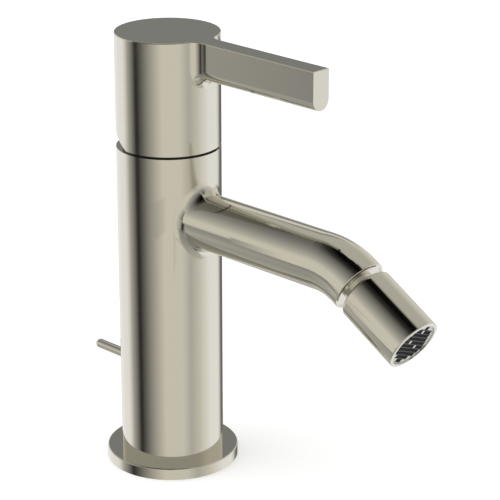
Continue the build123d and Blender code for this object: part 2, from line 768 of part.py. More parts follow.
# Handle: turned cap and lever blade in one piece, hollowed over the dome ring
lever_half_width = lever_width / 2
cavity_sphere_radius = dome_radius + handle_wall_gap
insert_low_z = pivot_z + half_width_at(cavity_sphere_radius, insert_radius) + insert_depth
bar_top_z = pivot_z + spindle_bar_height
insert_top_z = bar_top_z + insert_head_gap
grub_z = insert_low_z + grub_inset
grub_start_y = spindle_bar_width / 2
plug_start_y = body_radius - plug_depth
with BuildPart() as handle:
    with BuildSketch(Plane.XY.offset(handle_z)):
        Circle(body_radius)
    extrude(amount=handle_height)
    with BuildSketch(Plane.XZ.offset(lever_reach)):
        with Locations((0, top_z - lever_depth + lever_half_width)):
            Circle(lever_half_width)
            Rectangle(
                lever_width,
                lever_depth - lever_half_width,
                align=(Align.CENTER, Align.MIN),
            )
    extrude(amount=-(lever_reach - body_radius / 2))
    blade_side_y = -half_width_at(body_radius, lever_half_width)
    joint_edges = [
        edge
        for edge in handle.edges()
        if edge.bounding_box().max.Y < blade_side_y + fit_gap
        and edge.bounding_box().min.Y > -body_radius - fit_gap
        and edge.center().Z < top_z - fit_gap
    ]
    fillet(joint_edges, handle_fillet)
    fillet(handle.faces().sort_by(Axis.Z)[-1].edges(), handle_edge_round)
    # Cut below the back, so that the cap clears the body's rim when the lever is lifted
    cut_depth = body_radius + overrun - handle_cut_y
    with BuildSketch(Plane.YZ.offset(-body_radius - overrun)):
        Polygon(
            (handle_cut_y, handle_z),
            (handle_cut_y + cut_depth, handle_z + cut_depth * tan(radians(handle_cut_angle))),
            (handle_cut_y + cut_depth, handle_z - overrun),
            (handle_cut_y, handle_z - overrun),
            align=None,
        )
    extrude(amount=2 * (body_radius + overrun), mode=Mode.SUBTRACT)
    # Cavity over the dome ring, socket for the insert, hole for the grub screw and its plug
    with BuildSketch(Plane.XY.offset(handle_z)):
        Circle(cavity_sphere_radius)
    extrude(amount=pivot_z - handle_z, mode=Mode.SUBTRACT)
    with Locations((0, 0, pivot_z)):
        Sphere(cavity_sphere_radius, mode=Mode.SUBTRACT)
    with BuildSketch(Plane.XY.offset(pivot_z)):
        Circle(insert_radius + fit_gap)
    extrude(amount=insert_top_z + insert_head_gap - pivot_z, mode=Mode.SUBTRACT)
    grub_plane = Plane(origin=(0, 0, grub_z), x_dir=(1, 0, 0), z_dir=(0, 1, 0))
    with BuildSketch(grub_plane):
        Circle(grub_radius + fit_gap)
    extrude(amount=body_radius + overrun, mode=Mode.SUBTRACT)
    with BuildSketch(grub_plane.offset(plug_start_y)):
        Circle(plug_radius + fit_gap)
    extrude(amount=plug_depth + overrun, mode=Mode.SUBTRACT)
handle.part.label = "handle"
export_step(handle.part, "parts/handle.step")

# Sleeve between the spindle's square bar and the handle's round socket
with BuildPart() as handle_insert:
    with BuildSketch(Plane.XY.offset(insert_low_z)):
        Circle(insert_radius)
    extrude(amount=insert_top_z - insert_low_z)
    with BuildSketch(Plane.XY.offset(insert_low_z)):
        Rectangle(spindle_bar_width + 2 * fit_gap, spindle_bar_width + 2 * fit_gap)
    extrude(amount=bar_top_z + fit_gap - insert_low_z, mode=Mode.SUBTRACT)
    with BuildSketch(grub_plane):
        Circle(grub_radius + fit_gap)
    extrude(amount=body_radius, mode=Mode.SUBTRACT)
handle_insert.part.label = "handle_insert"
export_step(handle_insert.part, "parts/handle_insert.step")

hex_key_radius = grub_radius / 2
with BuildPart() as grub_screw:
    with BuildSketch(grub_plane.offset(grub_start_y + fit_gap)):
        Circle(grub_radius)
    extrude(amount=grub_length)
    with BuildSketch(grub_plane.offset(grub_start_y + fit_gap + grub_length)):
        RegularPolygon(hex_key_radius, 6)
    extrude(amount=-grub_radius, mode=Mode.SUBTRACT)
grub_screw.part.label = "grub_screw"
export_step(grub_screw.part, "parts/grub_screw.step")

# Plug over the grub screw, on the handle's hidden back
with BuildPart() as screw_plug:
    with BuildSketch(grub_plane.offset(plug_start_y)):
        Circle(plug_radius)
    extrude(amount=plug_depth + plug_crown)
    with BuildSketch(Plane.XY.offset(grub_z - plug_radius)):
        Circle(body_radius)
    extrude(amount=2 * plug_radius, mode=Mode.INTERSECT)
screw_plug.part.label = "screw_plug"
export_step(screw_plug.part, "parts/screw_plug.step")

# Ball nipple: thread in the spout's end, flange, neck and a ball with a through bore
nipple_thread_at = nipple_flange_at - nipple_thread_length
with BuildPart(ball_plane) as ball_nipple:
    Sphere(ball_radius)
    with BuildSketch(outlet_section):
        ring_section(0, nipple_thread_radius, nipple_thread_at, nipple_flange_at)
        ring_section(0, recess_radius - fit_gap, nipple_flange_at, collar_ring_at)
        ring_section(0, neck_radius, collar_ring_at, ball_at)
    revolve(axis=outlet_axis)
    with BuildSketch(outlet.offset(nipple_thread_at)):
        Circle(ball_bore_radius)
    extrude(amount=ball_at + ball_radius - nipple_thread_at, mode=Mode.SUBTRACT)
ball_nipple.part.label = "ball_nipple"
export_step(ball_nipple.part, "parts/ball_nipple.step")

with BuildPart() as nipple_washer:
    with BuildSketch(outlet.offset(washer_at)):
        Circle(recess_radius - fit_gap)
        Circle(washer_bore_radius, mode=Mode.SUBTRACT)
    extrude(amount=washer_thickness)
nipple_washer.part.label = "nipple_washer"
export_step(nipple_washer.part, "parts/nipple_washer.step")

# Loose dished collar round the neck, inside the spout's lip
collar_ring_outer_radius = recess_radius - running_gap
collar_ring_inner_radius = neck_radius + running_gap
with BuildPart() as neck_collar:
    with BuildSketch(outlet_section):
        Polygon(
            (collar_ring_inner_radius, collar_ring_at + fit_gap),
            (collar_ring_outer_radius, collar_ring_at + fit_gap),
            (collar_ring_outer_radius, collar_ring_at + collar_ring_thickness),
            (collar_ring_inner_radius, collar_ring_at + collar_ring_thickness - collar_ring_dish),
            align=None,
        )
    revolve(axis=outlet_axis)
neck_collar.part.label = "neck_collar"
export_step(neck_collar.part, "parts/neck_collar.step")

# Retainer: ring nut behind the ball, with a flared mouth that lets the neck lean
retainer_at = head_at + retainer_recess
grip_at = ball_at - retainer_grip
mouth_lean = (ball_set_back - retainer_recess) * sin(radians(head_tilt_angle))
retainer_mouth_radius = (neck_radius + neck_gap + mouth_lean) / cos(radians(head_tilt_angle))
grip_radius = half_width_at(socket_sphere_radius, retainer_grip)
with BuildPart(ball_plane) as ball_retainer:
    with BuildSketch(outlet_section):
        Polygon(
            (grip_radius, ball_at),
            (grip_radius, grip_at),
            (retainer_mouth_radius, retainer_at),
            (head_bore_radius - fit_gap, retainer_at),
            (head_bore_radius - fit_gap, ball_at),
            align=None,
        )
    revolve(axis=outlet_axis)
    Sphere(socket_sphere_radius, mode=Mode.SUBTRACT)
ball_retainer.part.label = "ball_retainer"
export_step(ball_retainer.part, "parts/ball_retainer.step")

# Seat ring in front of the ball, and the seal ring before it
seat_radius = head_bore_radius - running_gap
with BuildPart(ball_plane) as ball_seat:
    with BuildSketch(outlet_section):
        ring_section(shoulder_bore_radius, seat_radius, seat_at, seal_at)
    revolve(axis=outlet_axis)
    Sphere(socket_sphere_radius, mode=Mode.SUBTRACT)
ball_seat.part.label = "ball_seat"
export_step(ball_seat.part, "parts/ball_seat.step")

with BuildPart(ball_plane) as ball_seal:
    with BuildSketch(outlet_section):
        ring_section(seal_bore_radius, seat_radius, seal_at, seal_at + seal_length)
    revolve(axis=outlet_axis)
    Sphere(socket_sphere_radius, mode=Mode.SUBTRACT)
ball_seal.part.label = "ball_seal"
export_step(ball_seal.part, "parts/ball_seal.step")

# Outlet head: turned shell, a shoulder between the ball's socket and the aerator's
with BuildPart() as outlet_head:
    with BuildSketch(outlet_section):
        Polygon(
            (head_bore_radius, head_at),
            (head_radius, head_at),
            (head_radius, head_end_at),
            (head_bore_radius, head_end_at),
            (head_bore_radius, chamber_at),
            (shoulder_bore_radius, chamber_at),
            (shoulder_bore_radius, shoulder_at),
            (head_bore_radius, shoulder_at),
            align=None,
        )
    revolve(axis=outlet_axis)
    rims = outlet_head.edges().filter_by(GeomType.CIRCLE)
    outer_rims = rims.filter_by(lambda edge: edge.radius > head_radius - fit_gap).sort_by(outlet_axis)
    fillet(outer_rims[0], head_rear_round)
    fillet(outer_rims[-1], head_front_round)
outlet_head.part.label = "outlet_head"
export_step(outlet_head.part, "parts/outlet_head.step")

# Aerator: washer, holder, perforated diffuser and the lattice in front
with BuildPart() as aerator_seal:
    with BuildSketch(outlet.offset(chamber_at)):
        Circle(head_bore_radius - fit_gap)
        Circle(aerator_seal_bore_radius, mode=Mode.SUBTRACT)
    extrude(amount=aerator_seal_thickness)
aerator_seal.part.label = "aerator_seal"
export_step(aerator_seal.part, "parts/aerator_seal.step")

lattice_at = aerator_end_at - lattice_depth
diffuser_at = lattice_at - diffuser_front_gap - diffuser_thickness
cell_pitch = cell_width + cell_wall
row_count = floor((2 * lattice_radius - cell_wall) / cell_pitch)
lattice_x = outlet.x_dir.rotate(Axis((0, 0, 0), outlet_direction), lattice_turn_angle)


def lattice_plane(station):
    """Plane across the outlet, turned so that its x runs along the lattice's rows."""
    centre = spout_corner + outlet_direction * station
    return Plane(origin=centre, x_dir=lattice_x, z_dir=outlet_direction)


def row_place(row):
    """Distance of a row of cells from the lattice's centre."""
    return (row - (row_count - 1) / 2) * cell_pitch


def row_cells(row):
    """Cells in a row: as many as the circle holds, odd and even in turn, for the stagger."""
    far_side = abs(row_place(row)) + (cell_pitch + cell_wall) / 2
    cells = floor((2 * half_width_at(lattice_radius, far_side) - cell_wall) / cell_pitch)
    return cells - (cells + row) % 2


def row_rectangles(margin):
    """Stepped outline of all the rows, for the sketch that is open."""
    for row in range(row_count):
        with Locations((0, row_place(row))):
            Rectangle(
                row_cells(row) * cell_pitch + cell_wall + 2 * margin,
                cell_pitch + cell_wall + 2 * margin,
            )


with BuildPart() as aerator_lattice:
    with BuildSketch(lattice_plane(lattice_at)):
        row_rectangles(0)
        for row in range(row_count):
            with Locations((0, row_place(row))):
                with GridLocations(cell_pitch, cell_pitch, row_cells(row), 1):
                    Rectangle(cell_width, cell_width, mode=Mode.SUBTRACT)
    extrude(amount=lattice_depth)
aerator_lattice.part.label = "aerator_lattice"
export_step(aerator_lattice.part, "parts/aerator_lattice.step")

# Holder: sleeve with a stepped pocket in its front for the lattice
pocket_at = lattice_at - fit_gap
with BuildPart() as aerator_holder:
    with BuildSketch(outlet.offset(aerator_at)):
        Circle(head_bore_radius - fit_gap)
    extrude(amount=aerator_end_at - lattice_proud - aerator_at)
    with BuildSketch(outlet.offset(aerator_at)):
        Circle(aerator_bore_radius)
    extrude(amount=pocket_at - lattice_ledge - aerator_at, mode=Mode.SUBTRACT)
    with BuildSketch(outlet.offset(aerator_at)):
        Circle(ledge_radius)
    extrude(amount=pocket_at - aerator_at, mode=Mode.SUBTRACT)
    with BuildSketch(lattice_plane(pocket_at)):
        row_rectangles(fit_gap)
    extrude(amount=lattice_depth + overrun, mode=Mode.SUBTRACT)
aerator_holder.part.label = "aerator_holder"
export_step(aerator_holder.part, "parts/aerator_holder.step")

# Diffuser: perforated disc with pegs that stand in cells of the lattice
diffuser_ring_step = diffuser_radius / (diffuser_rings + 1)
with BuildPart() as aerator_diffuser:
    with BuildSketch(outlet.offset(diffuser_at)):
        Circle(diffuser_radius)
        for ring in range(1, diffuser_rings + 1):
            with PolarLocations(ring * diffuser_ring_step, diffuser_holes_share * ring):
                Circle(diffuser_hole_radius, mode=Mode.SUBTRACT)
    extrude(amount=diffuser_thickness)
    with BuildSketch(lattice_plane(diffuser_at + diffuser_thickness / 2)):
        for row, cell in peg_cells:
            with Locations(((cell - (row_cells(row) - 1) / 2) * cell_pitch, row_place(row))):
                Rectangle(cell_width - 2 * fit_gap, cell_width - 2 * fit_gap)
    extrude(amount=aerator_end_at - diffuser_at - diffuser_thickness / 2)
aerator_diffuser.part.label = "aerator_diffuser"
export_step(aerator_diffuser.part, "parts/aerator_diffuser.step")
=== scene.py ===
# %% [markdown]
# A bidet mixer, dressed and lit
#
# The mixer is a small tap in satin-bright nickel: a round column, a lever on top, a bent spout that
# ends in a swivelling outlet, and a pull rod behind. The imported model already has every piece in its
# true shape, with smooth normals, so nothing here changes a mesh. What is left is what the eye reads
# as nickel: the finish, and above all what stands round the metal. Lengths are in metres.

# %% The frame
import json
from math import atan2, cos, radians, sin

import bmesh
import bpy
from mathutils import Matrix, Vector

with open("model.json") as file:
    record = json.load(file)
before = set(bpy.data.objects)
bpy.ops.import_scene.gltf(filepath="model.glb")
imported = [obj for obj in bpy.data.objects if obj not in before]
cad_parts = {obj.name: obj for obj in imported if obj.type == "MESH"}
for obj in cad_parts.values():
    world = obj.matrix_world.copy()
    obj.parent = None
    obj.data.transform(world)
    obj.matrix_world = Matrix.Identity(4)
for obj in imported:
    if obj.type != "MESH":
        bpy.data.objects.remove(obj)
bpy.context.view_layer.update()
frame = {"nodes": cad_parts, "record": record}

MM = 0.001
nodes = frame["nodes"]
scene = bpy.context.scene
print("pieces in the packed model:", len(nodes))

# %% [markdown]
# Helpers for colours and nodes
#
# A colour given here is an sRGB hex value, but shaders work in linear light, so one function turns
# the one into the other. A node is always made in the same way, whatever its kind: create it, set its
# properties and plain values, plug in its links. One small function does that for every material below.


# %% Colour and node helpers
def linear(hex_colour):
    """Linear RGBA of an sRGB hex colour."""
    channels = [int(hex_colour[place : place + 2], 16) / 255 for place in (1, 3, 5)]
    light = [c / 12.92 if c <= 0.04045 else ((c + 0.055) / 1.055) ** 2.4 for c in channels]
    return light + [1.0]


def add(tree, kind, values=None, links=None, **properties):
    """Adds a node, with its properties, the values of its inputs and the sockets that feed them."""
    node = tree.nodes.new(kind)
    for name, value in properties.items():
        setattr(node, name, value)
    for key, value in (values or {}).items():
        node.inputs[key].default_value = value
    for key, socket in (links or {}).items():
        tree.links.new(socket, node.inputs[key])
    return node


def empty_material(name):
    """New material without nodes, and its tree."""
    material = bpy.data.materials.new(name)
    material.use_nodes = True
    material.node_tree.nodes.clear()
    return material, material.node_tree


print("a mid grey of #808080 is", round(linear("#808080")[0], 3), "in linear light")

# %% [markdown]
# The camera
#
# Fitting the column's rim circles in the photograph as circles seen in perspective gives the camera. It
# stands 0.86 m from the column's foot, 45 degrees round to the front left, and looks 20 degrees down
# through a long lens. It could be dragged into place by hand, but written as a place, a bearing and a
# pitch, those facts stay readable, and the matrix follows from them.

# %% Camera
camera_place = Vector((-0.52424, -0.56909, 0.36937))
camera_bearing = radians(-44.93)
camera_pitch = radians(20.14)
lens_mm = 153.51
sensor_mm = 36.0
nearest_seen = 0.01

right = Vector((cos(camera_bearing), sin(camera_bearing), 0))
back = Vector((
    sin(camera_bearing) * cos(camera_pitch),
    -cos(camera_bearing) * cos(camera_pitch),
    sin(camera_pitch),
))
up = back.cross(right)
turned = Matrix((right, up, back)).transposed().to_4x4()

camera_data = bpy.data.cameras.new("camera")
camera_data.lens = lens_mm
camera_data.sensor_width = sensor_mm
camera_data.clip_start = nearest_seen
camera = bpy.data.objects.new("camera", camera_data)
scene.collection.objects.link(camera)
camera.matrix_world = Matrix.Translation(camera_place) @ turned
scene.camera = camera
scene.view_settings.view_transform = "Standard"
print("camera stands", round(camera_place.length, 3), "m from the foot of the column")

# %% [markdown]
# The white background
#
# The background is plain white. It could be a large backdrop, but the world does it for every view at
# once. The camera, mirrors and anything clear show it at strength 1, which is white. Every other ray
# gets it a little weaker, as soft light from all round. Light Path tells the rays apart.


# %% World
def background_shows(tree):
    """1 for the rays that show the background: the camera's own, mirrored ones and those through glass."""
    rays = add(tree, "ShaderNodeLightPath").outputs
    shown = rays["Is Camera Ray"]
    for kind in ("Is Glossy Ray", "Is Transmission Ray"):
        shown = add(tree, "ShaderNodeMath", links={0: shown, 1: rays[kind]}, operation="MAXIMUM").outputs[0]
    return shown


white = "#FFFFFF"
soft_light = 0.75

world = bpy.data.worlds.new("studio")
scene.world = world
world.use_nodes = True
# An even world has no bright spots, so none are searched for
world.cycles.sampling_method = "NONE"
air = world.node_tree
air.nodes.clear()
all_round = add(air, "ShaderNodeBackground", {"Color": linear(white), "Strength": soft_light})
backdrop = add(air, "ShaderNodeBackground", {"Color": linear(white), "Strength": 1.0})
light = add(
    air,
    "ShaderNodeMixShader",
    links={0: background_shows(air), 1: all_round.outputs[0], 2: backdrop.outputs[0]},
)
add(air, "ShaderNodeOutputWorld", links={"Surface": light.outputs[0]})
print("the background lights the object at", soft_light)

# %% [markdown]
# What the metal mirrors: painted reflection tones
#
# Bright nickel has almost no look of its own, and in an even white room it is a pale blank. A
# photographer gives it form with what stands round it: paper in front, a black flag that draws a dark
# line down the column, grey and charcoal boards beside it, and a gap on either side, where the white
# background itself makes a bright stripe. Seven plain tones of painted reflection stand in for all of that.

# %% Tones
# Tones of the painted reflection, each named for what it stands in for
paper = "#E4E0D5"
shaded_paper = "#C4C2BA"
grey_board = "#9C9B98"
back_wall = "#888988"
charcoal_board = "#747370"
black_flag = "#383733"
unlit_ceiling = "#0C0C0C"
print("tones from", paper, "down to", unlit_ceiling)

# %% [markdown]
# What the metal mirrors: boards
#
# The boards could be many loose planes, but each would have to be aimed by hand. They stand far off, so
# they are one round tent instead, and its tone depends on the bearing and the height of each place on
# it. Bearings are measured from the point straight behind the camera: 0 is the camera's own side, 90 is
# to its right and -90 to its left. Each list gives degrees and the tone there, blended in between.

# %% Boards
# Painted reflection round the object, a little below the horizon
low_board_reflection = [
    (-180, grey_board),
    (-160, paper),
    (-112, paper),
    (-90, grey_board),
    (-76, black_flag),
    (-71, black_flag),
    (-58, charcoal_board),
    (-14, paper),
    (24, paper),
    (44, shaded_paper),
    (72, paper),
    (132, paper),
    (148, charcoal_board),
]
# Painted reflection from just below the horizon to overhead, on the flag's side and on the other side
dim_side = [
    (-8, paper),
    (8, paper),
    (20, shaded_paper),
    (36, grey_board),
    (50, charcoal_board),
    (62, black_flag),
    (74, unlit_ceiling),
]
bright_side = [(-8, paper), (15, paper), (42, shaded_paper)]
# The painted reflection of a wall behind the object has one tone from bottom to top
wall_reflection = [(-90, back_wall), (90, back_wall)]
# The painted reflection of paper below, round the object
floor_board_reflection = [(-140, shaded_paper), (-90, grey_board), (-60, grey_board), (70, shaded_paper)]
print("stops round the object:", len(low_board_reflection), "and up the flag's side:", len(dim_side))

# %% [markdown]
# What the metal mirrors: gaps
#
# Masks say where something holds: black is no and white is yes. Two of them open the tent, so that the
# white shows through it. The third says where the bright side is. The last says where the boards stand
# taller, so that the column keeps its lines when it is seen from low down. Behind the object and on the
# side that the outlet mirrors they stay low, or they would darken the outlines of spout and outlet.

# %% Gaps
no, yes = "#000000", "#FFFFFF"
low_gaps = [
    (-178, no),
    (-160, yes),
    (-116, yes),
    (-98, no),
    (68, no),
    (98, yes),
    (124, yes),
    (142, no),
]
floor_gaps = [(70, no), (105, yes), (150, yes), (170, no)]
bright_bearings = [(-160, yes), (-138, no), (60, no), (90, yes)]
tall_bearings = [(-64, no), (-54, yes), (126, yes), (138, no)]
extra_height = radians(22)
print("stops of the gaps:", len(low_gaps), "round the object and", len(floor_gaps), "below")

# %% [markdown]
# What the metal mirrors: directions
#
# Every place on the tent needs its bearing and its height. Both follow from its direction as seen from
# the tent's middle: the arctangent of Y and X, and the arcsine of Z. A ramp runs from 0 to 1, so each
# is turned into a share as well. UVs would do too, but these don't depend on how the tent is meshed.

# %% Directions
camera_side = atan2(camera_place.y, camera_place.x)
full_turn = 360
half_turn = 180
middle_share = 0.5

# The tent's material is a painted reflection: glowing tones that only mirrors see
painted_reflection_material, tent = empty_material("painted reflection of paper, boards and flags")
from_middle = add(tent, "ShaderNodeTexCoord").outputs["Object"]
direction = add(tent, "ShaderNodeVectorMath", links={0: from_middle}, operation="NORMALIZE").outputs[0]
parts = add(tent, "ShaderNodeSeparateXYZ", links={0: direction}).outputs
bearing = add(tent, "ShaderNodeMath", links={0: parts["Y"], 1: parts["X"]}, operation="ARCTAN2")
turn = add(
    tent,
    "ShaderNodeMath",
    {1: 1 / radians(full_turn), 2: middle_share - camera_side / radians(full_turn)},
    {0: bearing.outputs[0]},
    operation="MULTIPLY_ADD",
)
share_round = add(tent, "ShaderNodeMath", links={0: turn.outputs[0]}, operation="FRACT").outputs[0]
height = add(tent, "ShaderNodeMath", links={0: parts["Z"]}, operation="ARCSINE").outputs[0]
share_up = add(
    tent,
    "ShaderNodeMath",
    {1: 1 / radians(half_turn), 2: middle_share},
    {0: height},
    operation="MULTIPLY_ADD",
).outputs[0]
print("nodes for directions:", len(tent.nodes))

# %% [markdown]
# What the metal mirrors: bands
#
# A colour ramp turns a share into a tone. Its stops could be set by hand in the shader editor, but the
# lists above are easier to read and to change, so one function fills a ramp from a list.


# %% Bands
def bands(stops, degrees_in_all, share):
    """Colour over a full turn, or over the half turn from nadir to zenith, from its stops in degrees."""
    ramp = add(tent, "ShaderNodeValToRGB", links={0: share})
    elements = ramp.color_ramp.elements
    while len(elements) < len(stops):
        elements.new(1.0)
    for element, (degrees, colour) in zip(elements, stops):
        element.position = degrees / degrees_in_all + middle_share
        element.color = linear(colour)
    return ramp.outputs[0]


stands_taller = bands(tall_bearings, full_turn, share_round)
print("the boards stand taller from", tall_bearings[1][0], "to", tall_bearings[2][0], "degrees")

# %% [markdown]
# What the metal mirrors: edges
#
# The tent has three inner edges: round a dull wall behind the object, which the flat tops mirror, at
# the top of the boards, and where the paper below begins. A hard edge would draw a line into the metal,
# so each is a soft step. Where the boards stand taller, the height is lowered before its step.

# %% Edges
wall_bearing = radians(44.35)
wall_height = radians(17)
wall_full, wall_reach = radians(13), radians(23)
boards_full, boards_top = radians(-13), radians(-5)
paper_top, paper_full = radians(-26), radians(-38)

wall_direction = (
    cos(wall_bearing) * cos(wall_height),
    sin(wall_bearing) * cos(wall_height),
    sin(wall_height),
)
to_wall = add(tent, "ShaderNodeVectorMath", {1: wall_direction}, {0: direction}, operation="DOT_PRODUCT")
over_boards = add(
    tent,
    "ShaderNodeMath",
    {1: -extra_height},
    {0: stands_taller, 2: height},
    operation="MULTIPLY_ADD",
)
# Each: what is measured, where the step begins and where it is complete
steps = (
    (to_wall.outputs["Value"], cos(wall_reach), cos(wall_full)),
    (over_boards.outputs[0], boards_top, boards_full),
    (height, paper_top, paper_full),
)
on_wall, on_boards, on_paper = (
    add(
        tent,
        "ShaderNodeMapRange",
        {"From Min": begins, "From Max": complete},
        {"Value": measure},
        interpolation_type="SMOOTHSTEP",
    ).outputs[0]
    for measure, begins, complete in steps
)
print("the boards fade out over", round((boards_top - boards_full) / radians(1)), "degrees of height")

# %% [markdown]
# What the metal mirrors: the tent's surface
#
# The parts are laid over each other like sheets: the dim side first, then the bright side, the wall,
# the boards and the paper below. The gaps are laid in the same way. Where there is a gap, the surface
# is transparent and the white background shows. Elsewhere it glows in its tone, a painted reflection.
# A glowing surface could be a lamp as well, but this one is only there to be mirrored, so it isn't used as
# one.

# %% Tent surface
layers = (
    (bands(bright_bearings, full_turn, share_round), bands(bright_side, half_turn, share_up)),
    (on_wall, bands(wall_reflection, half_turn, share_up)),
    (on_boards, bands(low_board_reflection, full_turn, share_round)),
    (on_paper, bands(floor_board_reflection, full_turn, share_round)),
)
tone = bands(dim_side, half_turn, share_up)
for mask, layer in layers:
    tone = add(tent, "ShaderNodeMix", links={0: mask, 6: tone, 7: layer}, data_type="RGBA").outputs[2]

gap_in_boards = add(
    tent,
    "ShaderNodeMath",
    links={0: on_boards, 1: bands(low_gaps, full_turn, share_round)},
    operation="MULTIPLY",
)
gap = add(
    tent,
    "ShaderNodeMix",
    links={0: on_paper, 6: gap_in_boards.outputs[0], 7: bands(floor_gaps, full_turn, share_round)},
    data_type="RGBA",
)
# Painted reflection: the tent glows in its tone and lights nothing
glow = add(tent, "ShaderNodeEmission", {"Strength": 1.0}, {"Color": tone})
opening = add(tent, "ShaderNodeBsdfTransparent")
surface = add(
    tent,
    "ShaderNodeMixShader",
    links={0: gap.outputs[2], 1: glow.outputs[0], 2: opening.outputs[0]},
)
add(tent, "ShaderNodeOutputMaterial", links={"Surface": surface.outputs[0]})
painted_reflection_material.cycles.emission_sampling = "NONE"
print("nodes of the tent's material:", len(tent.nodes))

# %% [markdown]
# What the metal mirrors: the tent
#
# A ball with a radius of 3 m is far enough off for all its reflections to look distant. It is stage, not
# part of the object, and only mirrored rays meet it. So the camera looks straight through it at the
# white background, and it shades nothing.


# %% Tent
def mirrors_only(thing):
    """Hides a stage object from every ray but those that metal and other gloss mirror."""
    thing.visible_camera = False
    thing.visible_diffuse = False
    thing.visible_transmission = False
    thing.visible_shadow = False


tent_radius = 3.0
tent_middle = Vector((0, 0, 0.09))
facets_round, facets_up = 96, 48

tent_mesh = bpy.data.meshes.new("tent")
ball = bmesh.new()
bmesh.ops.create_uvsphere(ball, u_segments=facets_round, v_segments=facets_up, radius=tent_radius)
ball.to_mesh(tent_mesh)
ball.free()
tent_mesh.materials.append(painted_reflection_material)
tent_object = bpy.data.objects.new("tent", tent_mesh)
tent_object.location = tent_middle
scene.collection.objects.link(tent_object)
mirrors_only(tent_object)
print("the tent is", 2 * tent_radius, "m across")

# %% [markdown]
# The floor
#
# The floor is a pale sheet of matt paper. It could be a mere shadow catcher, but paper also throws soft
# light up from below. It keeps the object's shadow, and a little extra light for the rays that show the
# background brings the rest of it up to the same white. Mirrored rays pass it, because the lower part
# of the tent stands there for them.


# %% Floor
def sheet_object(name, corners, material):
    """Flat four-cornered stage object."""
    mesh = bpy.data.meshes.new(name)
    mesh.from_pydata(corners, [], [(0, 1, 2, 3)])
    mesh.materials.append(material)
    sheet = bpy.data.objects.new(name, mesh)
    scene.collection.objects.link(sheet)
    return sheet


floor_tone = "#F2F2F2"
floor_lift = 0.3
floor_reach = 6.0

floor_material, floor_tree = empty_material("studio paper")
matt = add(floor_tree, "ShaderNodeBsdfDiffuse", {"Color": linear(floor_tone)})
lift = add(
    floor_tree, "ShaderNodeMath", {1: floor_lift}, {0: background_shows(floor_tree)}, operation="MULTIPLY"
)
lit = add(floor_tree, "ShaderNodeEmission", {"Color": linear(white)}, {"Strength": lift.outputs[0]})
both = add(floor_tree, "ShaderNodeAddShader", links={0: matt.outputs[0], 1: lit.outputs[0]})
add(floor_tree, "ShaderNodeOutputMaterial", links={"Surface": both.outputs[0]})
floor_material.cycles.emission_sampling = "NONE"

corner_signs = ((-1, -1), (1, -1), (1, 1), (-1, 1))
floor_corners = [(floor_reach * x, floor_reach * y, 0) for x, y in corner_signs]
floor = sheet_object("floor", floor_corners, floor_material)
floor.visible_glossy = False
print("the floor is", 2 * floor_reach, "m across")

# %% [markdown]
# The lamp
#
# The world's light comes from everywhere and casts hardly a shadow. A broad sheet overhead, a little to
# the camera's left, gives it a side. An area lamp would do, but a sun with a wide angle is such a sheet
# at any distance. Mirrored rays don't see it, since the tent alone draws the metal.

# %% Lamp
lamp_strength = 0.8
lamp_spread = radians(50)
lamp_tilt = (radians(-20), radians(-25), 0)

lamp_data = bpy.data.lights.new("overhead sheet", "SUN")
lamp_data.energy = lamp_strength
lamp_data.angle = lamp_spread
lamp = bpy.data.objects.new("overhead sheet", lamp_data)
scene.collection.objects.link(lamp)
lamp.rotation_euler = lamp_tilt
lamp.visible_glossy = False
print("the lamp's strength is", lamp_strength)

# %% [markdown]
# The cards
#
# Three small cards in paper tones stand close to the object, where nearness matters: the outlet's side, the
# spout's side and its top mirror them in directions in which the column mirrors other things. Each
# stands upright between two places of the plan and two heights. Their tone can darken along Y, a painted
# shade such as paper takes where it leaves the light. Like the tent, the cards are painted reflections:
# they glow but light nothing.


# %% Card material
def painted_reflection_card(name, tones, fade):
    """Painted reflection card: its glow runs from one tone to another between two places along Y, a painted
    shade.
    """
    material, tree = empty_material(name)
    place = add(tree, "ShaderNodeTexCoord").outputs["Object"]
    along = add(tree, "ShaderNodeSeparateXYZ", links={0: place}).outputs["Y"]
    share = add(tree, "ShaderNodeMapRange", {"From Min": fade[0], "From Max": fade[1]}, {"Value": along})
    colour = add(
        tree,
        "ShaderNodeMix",
        {6: linear(tones[0]), 7: linear(tones[1])},
        {0: share.outputs[0]},
        data_type="RGBA",
    )
    glow = add(tree, "ShaderNodeEmission", {"Strength": 1.0}, {"Color": colour.outputs[2]})
    add(tree, "ShaderNodeOutputMaterial", links={"Surface": glow.outputs[0]})
    material.cycles.emission_sampling = "NONE"
    return material


# Painted reflections, with painted shade where a card's tone darkens along Y
painted_reflection_cards = {
    "side_card": painted_reflection_card("card for the head's side", (paper, shaded_paper), fade=(-0.085, -0.050)),
    "spout_card": painted_reflection_card("card for the spout's side", (paper, grey_board), fade=(-0.040, -0.006)),
    "top_card": painted_reflection_card("card for the spout's top", (paper, paper), fade=(-0.030, 0.070)),
}
print("card materials:", len(painted_reflection_cards))

# %% [markdown]
# Where the cards stand
#
# Their places were found by following mirrored rays: each card stands where the rays from one part of
# the metal pass. A plane could be moved and turned for each, but two places and two heights say the same
# in numbers that can be measured against the mixer.

# %% Cards
card_ends = {
    "side_card": ((-0.050, -0.105), (-0.050, -0.060)),
    "spout_card": ((-0.045, -0.095), (-0.045, -0.012)),
    "top_card": ((0.140, -0.030), (0.062, 0.048)),
}
card_heights = {
    "side_card": (0.060, 0.085),
    "spout_card": (0.087, 0.102),
    "top_card": (0.148, 0.184),
}
for name, (start, end) in card_ends.items():
    low, high = card_heights[name]
    corners = [(*start, low), (*end, low), (*end, high), (*start, high)]
    mirrors_only(sheet_object(name, corners, painted_reflection_cards[name]))
print("cards:", *card_ends)

